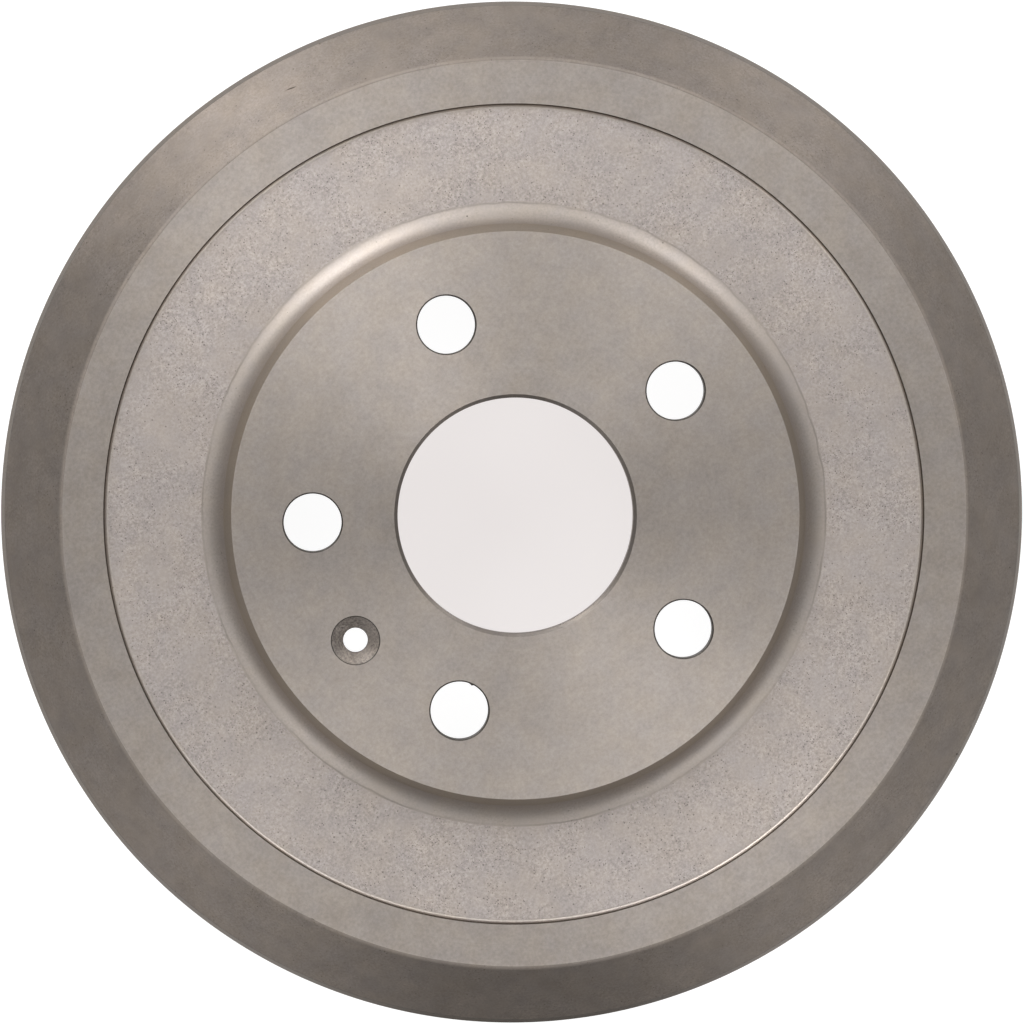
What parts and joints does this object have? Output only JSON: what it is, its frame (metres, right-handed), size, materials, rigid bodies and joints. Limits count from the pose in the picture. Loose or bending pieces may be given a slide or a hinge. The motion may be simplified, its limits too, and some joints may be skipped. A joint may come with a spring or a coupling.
{
  "type": "brake drum",
  "caption": "Grey-iron brake drum of a passenger car's rear wheel: raised turned hub face, recessed as-cast web, turned ring and conical corner, and an open friction cylinder behind.",
  "frame": {"origin": "on the drum's axis in the plane of the open rim, on which the drum lies", "axes": "+Z along the axis from the open rim to the wheel side; +X through a stud hole, so that the locating screw's hole is on -X"},
  "size_m": [0.268, 0.268, 0.074],
  "materials": {
    "iron": "turned bright on the hub face, ring, corner and friction surface, shot-blasted as-cast skin elsewhere"
  },
  "bodies": {
    "root": {"brake_drum": "iron"}
  },
  "joints": []
}
